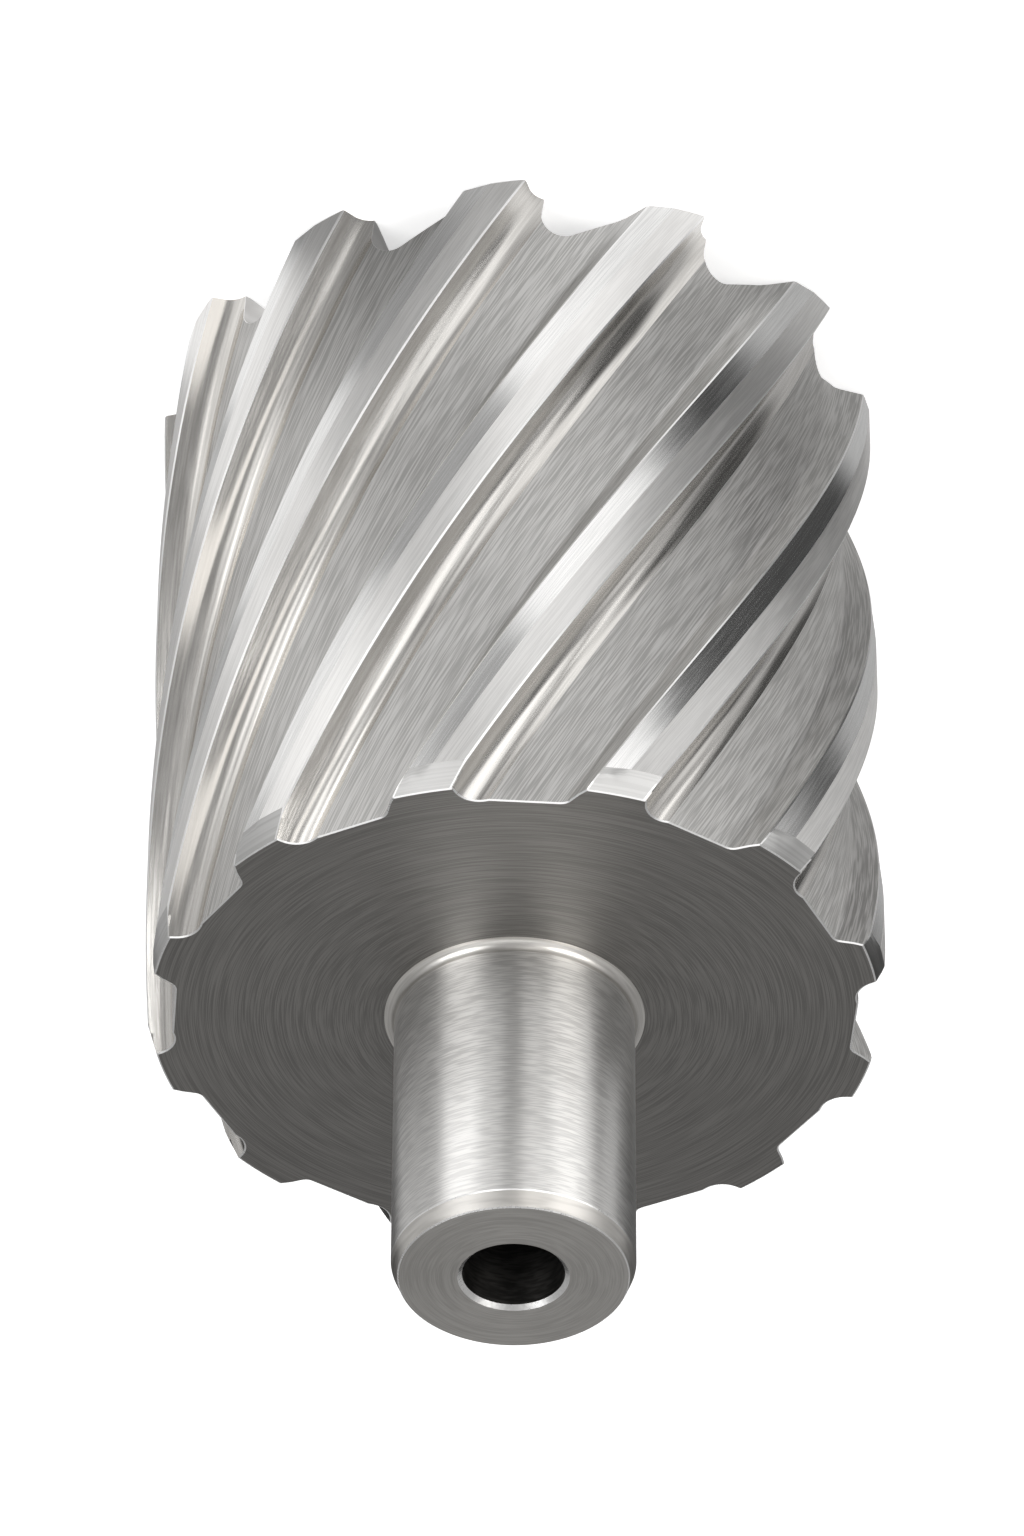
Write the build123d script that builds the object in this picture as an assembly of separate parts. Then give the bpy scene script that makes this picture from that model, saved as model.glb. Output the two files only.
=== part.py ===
from build123d import *

import math
import os

# Annular cutter, one piece of hardened steel, standing on its teeth with the shank up.
# Millimetres, +Z along the axis, z = 0 at the tooth tips.

# Body
cutting_diameter = 59.0
body_length = 63.5
wall_thickness = 5.5
cutting_depth = 52.0
cup_corner_bevel = 1.5
land_chamfer_length = 2.3
land_chamfer_depth = 0.6

# Shank
shank_diameter = 19.05
shank_length = 25.5
shank_chamfer_length = 1.35
shank_chamfer_depth = 0.55
shank_root_radius = 0.8
shank_root_strips = 3

# Bore for the pilot pin
pilot_diameter = 8.0
pilot_chamfer = 0.35

# Clamping flats on the shank
flat_depth = 1.1
flat_length = 15.0
flat_from_end = 5.5
flat_azimuths = (60.0, 150.0)

# Flutes
tooth_count = 12
helix_angle = 30.0
first_tooth_azimuth = -1.2
land_width = 4.7
margin_width = 2.6
land_relief_depth = 0.28
rake_lean = 18.0
groove_width = 2.9
groove_depth = 2.55
groove_radius = 1.2
groove_strips = 3
floor_front_depth = 2.25
floor_back_depth = 2.45
back_lean = 30.0
back_radius = 1.5
back_strips = 2

# Teeth
relief_angle = 8.0
gullet_offset = 1.7
gullet_depth = 3.7
gullet_face_lean = 9.0
gullet_ramp_angle = 29.0
gullet_radius = 1.9
gullet_strips = 5
inner_bevel_width = 2.8
inner_bevel_rise = 0.6

# How far cutting tools reach past the steel
overrun = 1.0

rim_radius = cutting_diameter / 2
cup_radius = rim_radius - wall_thickness
shank_radius = shank_diameter / 2
pilot_radius = pilot_diameter / 2
total_length = body_length + shank_length
tooth_pitch = 2 * math.pi * rim_radius / tooth_count
lead = 2 * math.pi * rim_radius / math.tan(math.radians(helix_angle))
turn_per_mm = 360.0 / lead


def rim_degrees(arc):
    """Angle that an arc of the given length takes up on the rim."""
    return math.degrees(arc / rim_radius)


def polar(radius, degrees):
    """Point in the plane across the axis."""
    return Vector(radius * math.cos(math.radians(degrees)), radius * math.sin(math.radians(degrees)))


def rounded(before, corner, after, radius, strips):
    """Points that take a corner round at a radius, in a number of straight strips."""
    to_before = (before - corner).normalized()
    to_after = (after - corner).normalized()
    half_angle = math.radians(to_before.get_angle(to_after) / 2)
    centre = corner + (to_before + to_after).normalized() * (radius / math.sin(half_angle))
    start = corner + to_before * (radius / math.tan(half_angle))
    sweep = math.copysign(180 - 2 * math.degrees(half_angle), to_after.cross(to_before).Z)
    return [
        centre + (start - centre).rotate(Axis.Z, sweep * index / strips) for index in range(strips + 1)
    ]


def turned_blank():
    """The blank as it leaves the lathe: cup, shank and pilot bore about one axis."""
    rear_edge = Vector(rim_radius - land_chamfer_depth, body_length)
    shank_root = Vector(shank_radius, body_length)
    shank_end = Vector(shank_radius, total_length - shank_chamfer_length)
    with BuildPart() as blank:
        with BuildSketch(Plane.XZ):
            with BuildLine():
                Polyline(
                    (pilot_radius, cutting_depth),
                    (cup_radius - cup_corner_bevel, cutting_depth),
                    (cup_radius, cutting_depth - cup_corner_bevel),
                    (cup_radius, inner_bevel_rise),
                    (cup_radius + inner_bevel_width, 0),
                    (rim_radius, 0),
                    (rim_radius, body_length - land_chamfer_length),
                    rear_edge,
                    *rounded(rear_edge, shank_root, shank_end, shank_root_radius, shank_root_strips),
                    shank_end,
                    (shank_radius - shank_chamfer_depth, total_length),
                    (pilot_radius + pilot_chamfer, total_length),
                    (pilot_radius, total_length - pilot_chamfer),
                    close=True,
                )
            make_face()
        revolve(axis=Axis.Z)
    return blank.part


def flute_section():
    """What one flute takes away, seen from the shank, with the cutting edge at 0 degrees.

    From the cutting edge clockwise: the leaning rake wall, the round groove at its foot,
    the flat floor, the back wall up to the heel of the next land, and the relief of that
    land as far as its margin. The rounds are drawn in straight strips, which keeps the twisted
    faces few and light.
    """
    flute_width = tooth_pitch - land_width
    rake_slope = math.tan(math.radians(rake_lean))
    back_foot = flute_width - floor_back_depth * math.tan(math.radians(back_lean))
    outside = rim_radius + overrun
    margin_start = -rim_degrees(tooth_pitch - margin_width)
    wall_top = Vector(outside, overrun * rake_slope)
    groove_foot = Vector(rim_radius - groove_depth, -groove_depth * rake_slope)
    crease = polar(rim_radius - floor_front_depth, -rim_degrees(groove_width))
    floor_end = polar(rim_radius - floor_back_depth, -rim_degrees(back_foot))
    heel = polar(rim_radius - land_relief_depth, -rim_degrees(flute_width))
    relief_end = polar(rim_radius, margin_start)
    clear = polar(outside, margin_start)
    mid_rim = polar(outside, margin_start / 2)
    with BuildSketch() as section:
        with BuildLine():
            Polyline(
                wall_top,
                *rounded(wall_top, groove_foot, crease, groove_radius, groove_strips),
                crease,
                *rounded(crease, floor_end, heel, back_radius, back_strips),
                heel,
                relief_end,
                clear,
            )
            ThreePointArc(clear, mid_rim, wall_top)
        make_face()
    return section.sketch


def flute():
    """One flute, twisted along the body from below the teeth to past the rear face."""
    height = body_length + 2 * overrun
    solid = Solid.extrude_linear_with_rotation(
        flute_section().face(), center=(0, 0, 0), normal=(0, 0, height), angle=turn_per_mm * height
    )
    return Pos(0, 0, -overrun) * Rot(0, 0, -turn_per_mm * overrun) * solid


def gullet_profile():
    """What is ground away between two teeth, unrolled: distance in front of the cutting edge along
    the rim, and height above the tips.

    From the tip: the steep face that leans in under the tooth, the round bottom, the ramp, and
    the relief of the next land down to its cutting edge.
    """
    relief_slope = math.tan(math.radians(relief_angle))
    ramp_slope = math.tan(math.radians(gullet_ramp_angle))
    face_slope = math.tan(math.radians(gullet_face_lean))
    along_face = Vector(face_slope, -1).normalized()
    along_ramp = Vector(1, -ramp_slope).normalized()
    half_angle = math.radians(along_face.get_angle(along_ramp) / 2)
    centre_drop = -(along_face + along_ramp).normalized().Y * gullet_radius / math.sin(half_angle)
    corner_height = gullet_depth - gullet_radius + centre_drop
    corner = Vector(gullet_offset - face_slope * corner_height, corner_height)
    ramp_end_arc = (corner.Y + ramp_slope * corner.X - relief_slope * tooth_pitch) / (
        ramp_slope - relief_slope
    )
    tip = Vector(gullet_offset, 0)
    ramp_end = Vector(ramp_end_arc, relief_slope * (tooth_pitch - ramp_end_arc))
    return [
        Vector(gullet_offset + face_slope * overrun, -overrun),
        *rounded(tip, corner, ramp_end, gullet_radius, gullet_strips),
        ramp_end,
        Vector(tooth_pitch, 0),
        Vector(tooth_pitch, -overrun),
    ]


def gullet_section(distance):
    """The gullet on a plane at this distance from the axis, so that its edges point at the axis."""
    def on_plane(point):
        degrees = 180.0 / tooth_count - rim_degrees(point.X)
        return distance * math.tan(math.radians(degrees)), point.Y

    with BuildSketch() as section:
        with BuildLine():
            Polyline(*[on_plane(point) for point in gullet_profile()], close=True)
        make_face()
    return section.sketch


def gullet():
    """One gap between teeth."""
    inside = cup_radius - 2 * overrun
    outside = rim_radius + 2 * overrun
    sections = [
        Plane(origin=(distance, 0, 0), x_dir=(0, 1, 0), z_dir=(1, 0, 0)) * gullet_section(distance)
        for distance in (inside, outside)
    ]
    return Rot(0, 0, -180.0 / tooth_count) * loft(sections, ruled=True)


def clamping_flat(azimuth):
    """One milled flat, a pocket closed at both ends, where the holder's screw bears."""
    floor_distance = shank_radius - flat_depth
    pocket = Box(
        2 * flat_depth, shank_diameter, flat_length, align=(Align.MIN, Align.CENTER, Align.MAX)
    )
    return Rot(0, 0, azimuth) * Pos(floor_distance, 0, total_length - flat_from_end) * pocket


def annular_cutter():
    """The finished cutter."""
    around = [
        Rot(0, 0, first_tooth_azimuth + 360.0 * index / tooth_count) for index in range(tooth_count)
    ]
    one_flute = flute()
    one_gullet = gullet()
    body = turned_blank()
    for place in around:
        body = body - place * one_flute
    for place in around:
        body = body - place * one_gullet
    return body - [clamping_flat(azimuth) for azimuth in flat_azimuths]


os.makedirs("parts", exist_ok=True)
export_step(annular_cutter(), "parts/annular_cutter.step")
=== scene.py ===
"""The annular cutter as it looks: its fine mesh, its steel finishes, its studio and its camera."""

import logging
import math
from bisect import bisect_left
from dataclasses import dataclass, field
from enum import Enum

import bmesh
import bpy
from mathutils import Matrix, Vector


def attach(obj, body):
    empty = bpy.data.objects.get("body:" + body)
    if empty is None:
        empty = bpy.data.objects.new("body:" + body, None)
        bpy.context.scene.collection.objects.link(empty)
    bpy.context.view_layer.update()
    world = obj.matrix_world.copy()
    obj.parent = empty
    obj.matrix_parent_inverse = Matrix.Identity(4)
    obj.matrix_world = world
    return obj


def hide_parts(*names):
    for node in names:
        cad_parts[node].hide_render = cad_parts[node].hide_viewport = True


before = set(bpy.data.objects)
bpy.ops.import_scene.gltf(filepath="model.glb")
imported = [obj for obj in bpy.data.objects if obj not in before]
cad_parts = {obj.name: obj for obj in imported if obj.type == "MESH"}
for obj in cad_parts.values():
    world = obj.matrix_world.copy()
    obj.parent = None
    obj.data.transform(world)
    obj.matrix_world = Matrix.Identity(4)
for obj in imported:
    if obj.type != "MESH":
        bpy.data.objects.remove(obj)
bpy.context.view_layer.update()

log = logging.getLogger("annular_cutter")

MM = 0.001
METRE = 1 / MM

# Sizes that more than one part of the cutter shares, in millimetres and degrees
BODY_LENGTH = 63.5
HELIX_ANGLE = 30.0
CUP_RADIUS = 24.0
CUP_FLOOR = 52.0
SHANK_RADIUS = 9.525
ROOT_RADIUS = 0.8

# Turned marks: how far a step outward shifts them, and the radius that their length is for
TURNED_SLANT = 1.7
TURNED_RADIUS = 15.0

# The part of a noise that goes from the deep tone to the pale one
MARK_RANGE = (0.38, 0.62)
HAZE_RANGE = (0.35, 0.65)


class Surface(Enum):
    """The surfaces of the cutter that are finished in different ways, one material slot each."""

    MARGIN = "margin"
    RELIEF = "land_relief"
    RAKE = "rake_wall"
    FLOOR = "flute_floor"
    EDGE = "honed_edge"
    REAR_CHAMFER = "rear_chamfer"
    REAR_FACE = "rear_face"
    SHANK = "shank"
    SHANK_END = "shank_end"
    SHANK_CHAMFER = "shank_chamfer"
    FLAT = "clamping_flat"
    BORE = "pilot_bore"
    CUP = "cup"
    TOOTH_END = "tooth_end"


class Lay(Enum):
    """Which way the marks of the last tool run over a surface."""

    HELICAL = "helical"
    TURNED = "turned"
    RADIAL = "radial"


# Geometry helpers, in millimetres


def slope(degrees: float) -> float:
    """How far a line at an angle leaves its base, for each millimetre along it."""
    return math.tan(math.radians(degrees))


def polar(radius: float, degrees: float, height: float = 0.0) -> Vector:
    """Point at a radius, an angle about the axis and a height."""
    turn = math.radians(degrees)
    return Vector((radius * math.cos(turn), radius * math.sin(turn), height))


def run(start: Vector, end: Vector, strips: int) -> list[Vector]:
    """Where each of the equal strips of a straight run begins."""
    return [start.lerp(end, index / strips) for index in range(strips)]


def rounded(
    before: Vector, corner: Vector, after: Vector, radius: float, strips: int
) -> list[Vector]:
    """Takes a corner of a flat outline round at a radius.

    Args:
        before: a point on the straight that comes to the corner.
        corner: the corner itself.
        after: a point on the straight that leaves it.
        radius: radius of the round.
        strips: how many strips the round is divided into.

    Returns:
        The points of the round, from tangent point to tangent point.
    """
    to_before = (before - corner).normalized()
    to_after = (after - corner).normalized()
    half_angle = to_before.angle(to_after) / 2
    centre = corner + (to_before + to_after).normalized() * (radius / math.sin(half_angle))
    start = corner + to_before * (radius / math.tan(half_angle)) - centre
    sweep = math.copysign(math.pi - 2 * half_angle, to_after.cross(to_before).z)
    turns = (Matrix.Rotation(sweep * index / strips, 3, "Z") for index in range(strips + 1))
    return [centre + turn @ start for turn in turns]


@dataclass(frozen=True)
class Station:
    """One point of the fluted section, unwound to the tips: its place, and the surface after it."""

    degrees: float
    radius: float
    surface: Surface


@dataclass
class Ring:
    """A loop of points about the axis, and the surface of the band between it and the next ring."""

    points: list[Vector]
    surfaces: list[Surface]

    @classmethod
    def plain(cls, points: list[Vector], surface: Surface) -> "Ring":
        """A ring with the same surface all the way round."""
        return cls(points, [surface] * len(points))


@dataclass(frozen=True)
class Helix:
    """How the twelve teeth wind about the axis."""

    rim_radius: float = 29.5
    angle: float = HELIX_ANGLE
    teeth: int = 12
    first_tooth: float = -1.2

    @property
    def pitch(self) -> float:
        """Distance from tooth to tooth along the rim."""
        return 2 * math.pi * self.rim_radius / self.teeth

    @property
    def degrees_per_mm(self) -> float:
        """Turn of the teeth for each millimetre of height."""
        return math.degrees(slope(self.angle) / self.rim_radius)

    def rim_degrees(self, arc: float) -> float:
        """Angle that an arc takes up on the rim."""
        return math.degrees(arc / self.rim_radius)

    def wound(self, radius: float, degrees: float, height: float) -> Vector:
        """Where a point of the unwound cutter lies once the teeth are wound."""
        return polar(radius, self.first_tooth + degrees + self.degrees_per_mm * height, height)


@dataclass(frozen=True)
class FluteSection:
    """The section across the flutes: margin, edge, rake wall, groove, floor, back wall, relief."""

    helix: Helix
    land_width: float = 4.7
    margin_width: float = 2.6
    margin_strips: int = 4
    relief_depth: float = 0.28
    relief_strips: int = 3
    rake_lean: float = 18.0
    rake_strips: int = 3
    groove_width: float = 2.9
    groove_depth: float = 2.55
    groove_radius: float = 2.0
    groove_strips: int = 10
    crease_strips: int = 2
    floor_front_depth: float = 2.25
    floor_back_depth: float = 2.45
    floor_strips: int = 6
    foot_radius: float = 0.9
    foot_strips: int = 6
    back_lean: float = 30.0
    back_strips: int = 2
    honed_width: float = 0.12
    heel_bevel: float = 0.1
    closest_degrees: float = 0.04

    def outline(self) -> list[tuple[Vector, Surface]]:
        """One pitch of the section, clockwise from the margin's end at the cutting edge.

        Returns:
            Its points, each with the surface after it.
        """
        rim = self.helix.rim_radius
        pitch = self.helix.pitch
        arc = self.helix.rim_degrees
        flute_width = pitch - self.land_width
        back_foot = flute_width - self.floor_back_depth * slope(self.back_lean)
        margin_start = -arc(pitch - self.margin_width)
        margin_end = -arc(pitch - self.honed_width)
        edge = Vector((rim, 0, 0))
        groove_lean = -self.groove_depth * slope(self.rake_lean)
        groove_foot = Vector((rim - self.groove_depth, groove_lean, 0))
        crease = polar(rim - self.floor_front_depth, -arc(self.groove_width))
        floor_end = polar(rim - self.floor_back_depth, -arc(back_foot))
        heel = polar(rim - self.relief_depth, -arc(flute_width))
        relief_end = polar(rim, margin_start)
        wall_top = edge + (groove_foot - edge).normalized() * self.honed_width
        heel_inside = heel + (floor_end - heel).normalized() * self.heel_bevel
        heel_outside = heel + (relief_end - heel).normalized() * self.heel_bevel
        groove = rounded(edge, groove_foot, crease, self.groove_radius, self.groove_strips)
        foot = rounded(crease, floor_end, heel, self.foot_radius, self.foot_strips)
        margin = [
            polar(rim, margin_start + (margin_end - margin_start) * index / self.margin_strips)
            for index in range(self.margin_strips)
        ]
        stretches = (
            (Surface.EDGE, [polar(rim, arc(self.honed_width))]),
            (Surface.RAKE, run(wall_top, groove[0], self.rake_strips)),
            (Surface.RAKE, groove[:-1]),
            (Surface.RAKE, run(groove[-1], crease, self.crease_strips)),
            (Surface.FLOOR, run(crease, foot[0], self.floor_strips)),
            (Surface.FLOOR, foot[:-1]),
            (Surface.FLOOR, run(foot[-1], heel_inside, self.back_strips)),
            (Surface.EDGE, [heel_inside]),
            (Surface.RELIEF, run(heel_outside, relief_end, self.relief_strips)),
            (Surface.MARGIN, margin),
        )
        return [(point, surface) for surface, points in stretches for point in points]

    def stations(self, extra_degrees: list[float]) -> list[Station]:
        """The whole section, clockwise, with stations added where the tooth ends need them.

        Args:
            extra_degrees: angles in front of each cutting edge where a station is wanted.

        Returns:
            The stations of all the teeth.
        """
        outline = self.outline()
        pitch_degrees = 360.0 / self.helix.teeth
        first = outline[0][0].copy()
        first.rotate(Matrix.Rotation(-math.radians(pitch_degrees), 3, "Z"))
        ends = [point for point, _ in outline[1:]] + [first]
        gap = self.closest_degrees
        one_pitch: list[Station] = []
        for (start, surface), end in zip(outline, ends):
            along = end - start
            from_degrees = math.degrees(math.atan2(start.y, start.x))
            to_degrees = math.degrees(math.atan2(end.y, end.x))
            one_pitch.append(Station(from_degrees, start.length, surface))
            for wanted in sorted(extra_degrees, reverse=True):
                if to_degrees + gap < wanted < from_degrees - gap:
                    ray = polar(1.0, wanted)
                    reach = start.x * along.y - start.y * along.x
                    radius = reach / (ray.x * along.y - ray.y * along.x)
                    one_pitch.append(Station(wanted, radius, surface))
        return [
            Station(station.degrees - pitch_degrees * tooth, station.radius, station.surface)
            for tooth in range(self.helix.teeth)
            for station in one_pitch
        ]


@dataclass
class ToothEnds:
    """The ground ends of the teeth: steep faces, round gullets, ramps, relief and inner bevel."""

    helix: Helix
    relief_angle: float = 8.0
    gullet_offset: float = 1.7
    gullet_depth: float = 3.7
    gullet_radius: float = 1.9
    gullet_strips: int = 12
    face_lean: float = 9.0
    ramp_angle: float = 29.0
    bevel_width: float = 2.8
    bevel_rise: float = 0.6
    bevel_shares: tuple[float, ...] = (1.0, 0.5, 0.0)
    honed_width: float = 0.04
    profile: list[tuple[float, float]] = field(init=False)

    def __post_init__(self) -> None:
        """Works out the ground profile once."""
        self.profile = self.unwound_profile()

    def unwound_profile(self) -> list[tuple[float, float]]:
        """The end of one tooth and its gullet, laid out flat.

        Returns:
            Its points, as distance in front of the cutting edge and height.
        """
        pitch = self.helix.pitch
        relief_slope = slope(self.relief_angle)
        ramp_slope = slope(self.ramp_angle)
        face_slope = slope(self.face_lean)
        along_face = Vector((face_slope, -1, 0)).normalized()
        along_ramp = Vector((1, -ramp_slope, 0)).normalized()
        half_angle = along_face.angle(along_ramp) / 2
        drop = -(along_face + along_ramp).normalized().y * self.gullet_radius / math.sin(half_angle)
        corner_height = self.gullet_depth - self.gullet_radius + drop
        corner = Vector((self.gullet_offset - face_slope * corner_height, corner_height, 0))
        ramp_end_arc = (corner.y + ramp_slope * corner.x - relief_slope * pitch) / (
            ramp_slope - relief_slope
        )
        tip = Vector((self.gullet_offset, 0, 0))
        ramp_end = Vector((ramp_end_arc, relief_slope * (pitch - ramp_end_arc), 0))
        points = [
            tip,
            *rounded(tip, corner, ramp_end, self.gullet_radius, self.gullet_strips),
            ramp_end,
            Vector((pitch, 0, 0)),
            Vector((pitch + self.gullet_offset, 0, 0)),
        ]
        rise = slope(self.helix.angle)
        return [(point.x + point.y * rise, point.y) for point in points]

    def breaks(self) -> list[float]:
        """Angles in front of a cutting edge where the ground profile bends."""
        return [-self.helix.rim_degrees(arc) for arc, _ in self.profile[:-2]]

    def height(self, degrees: float) -> float:
        """Measures the ground end above the tips.

        Args:
            degrees: unwound angle, from the first cutting edge.

        Returns:
            The height of the ground end there.
        """
        arc = math.radians(-degrees) * self.helix.rim_radius
        start = self.profile[0][0]
        arc = start + (arc - start) % self.helix.pitch
        index = min(max(bisect_left(self.profile, (arc,)), 1), len(self.profile) - 1)
        (low_arc, low), (high_arc, high) = self.profile[index - 1], self.profile[index]
        return low + (high - low) * (arc - low_arc) / (high_arc - low_arc)

    def rings(self, stations: list[Station]) -> list[Ring]:
        """The ends of the teeth, from the wall of the cup out to the flutes.

        Args:
            stations: the columns of the mesh.

        Returns:
            The rings, the innermost first.
        """
        bevel_start = CUP_RADIUS + self.bevel_width
        rows = [
            [bevel_start + (CUP_RADIUS - bevel_start) * share] * len(stations)
            for share in self.bevel_shares
        ]
        rows.append([station.radius - self.honed_width for station in stations])
        made = []
        for row in rows:
            points = []
            for radius, station in zip(row, stations):
                bevel = (bevel_start - radius) * self.bevel_rise / self.bevel_width
                height = max(self.height(station.degrees), bevel, 0.0)
                points.append(self.helix.wound(radius, station.degrees, height))
            made.append(Ring.plain(points, Surface.TOOTH_END))
        made[-1] = Ring.plain(made[-1].points, Surface.EDGE)
        return made


@dataclass
class FlutedBody:
    """The helical flutes and lands, from the tooth ends to the rear face."""

    helix: Helix
    ends: ToothEnds
    length: float = BODY_LENGTH
    chamfer_length: float = 2.3
    chamfer_depth: float = 0.6
    chamfer_rows: int = 3
    blend_height: float = 6.0
    blend_rows: int = 4
    rows: int = 42
    rear_edge: float = 0.07

    @property
    def chamfer_start(self) -> float:
        """Height where the rear chamfer begins."""
        return self.length - self.chamfer_length

    def rim_limit(self, height: float) -> float:
        """Largest radius that the rear chamfer leaves at a height."""
        past = max(height - self.chamfer_start, 0.0)
        return self.helix.rim_radius - self.chamfer_depth * past / self.chamfer_length

    def levels(self, stations: list[Station]) -> list[list[float]]:
        """Heights of the rows, which follow the tooth ends at first and are level further up.

        Args:
            stations: the columns of the mesh.

        Returns:
            For each row, its height at each station.
        """
        ground = [self.ends.height(station.degrees) + self.ends.honed_width for station in stations]
        made = []
        for row in range(self.blend_rows):
            share = row / self.blend_rows
            made.append([low * (1 - share) + self.blend_height * share for low in ground])
        for row in range(self.rows):
            reach = self.chamfer_start - self.blend_height
            made.append([self.blend_height + reach * row / self.rows] * len(stations))
        for row in range(self.chamfer_rows + 1):
            reach = self.chamfer_length - self.rear_edge
            made.append([self.chamfer_start + reach * row / self.chamfer_rows] * len(stations))
        return made

    def rings(self, stations: list[Station]) -> list[Ring]:
        """The fluted outside, from the tooth ends up to the edge of the rear face.

        Args:
            stations: the columns of the mesh.

        Returns:
            The rings, the lowest first.
        """
        surfaces = [station.surface for station in stations]
        lands = (Surface.MARGIN, Surface.RELIEF)
        chamfered = [Surface.REAR_CHAMFER if one in lands else one for one in surfaces]
        made = []
        for row, levels in enumerate(self.levels(stations)):
            points = [
                self.helix.wound(min(station.radius, self.rim_limit(level)), station.degrees, level)
                for station, level in zip(stations, levels)
            ]
            in_chamfer = row >= self.blend_rows + self.rows
            made.append(Ring(points, chamfered if in_chamfer else surfaces))
        made[-1] = Ring.plain(made[-1].points, Surface.EDGE)
        return made


@dataclass
class RearFace:
    """The turned face between the scalloped rim and the root of the shank."""

    height: float = BODY_LENGTH
    inner_radius: float = SHANK_RADIUS + ROOT_RADIUS
    edge: float = 0.14
    steps: int = 6

    def rings(self, rim: Ring, shank_degrees: list[float]) -> list[Ring]:
        """The rear face, from its bevelled rim in to where the root round begins.

        Args:
            rim: the last ring of the fluted body.
            shank_degrees: angle of each column of the mesh on the shank.

        Returns:
            The rings of the face, the outermost first.
        """
        count = len(rim.points)
        outer = []
        for index, point in enumerate(rim.points):
            along = rim.points[(index + 1) % count] - rim.points[index - 1]
            inward = Vector((along.y, -along.x, 0)).normalized()
            outer.append(Vector((point.x, point.y, self.height)) + inward * self.edge)
        inner = [polar(self.inner_radius, degrees, self.height) for degrees in shank_degrees]
        made = []
        for step in range(self.steps):
            points = [start.lerp(end, step / self.steps) for start, end in zip(outer, inner)]
            made.append(Ring.plain(points, Surface.REAR_FACE))
        return made


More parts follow.
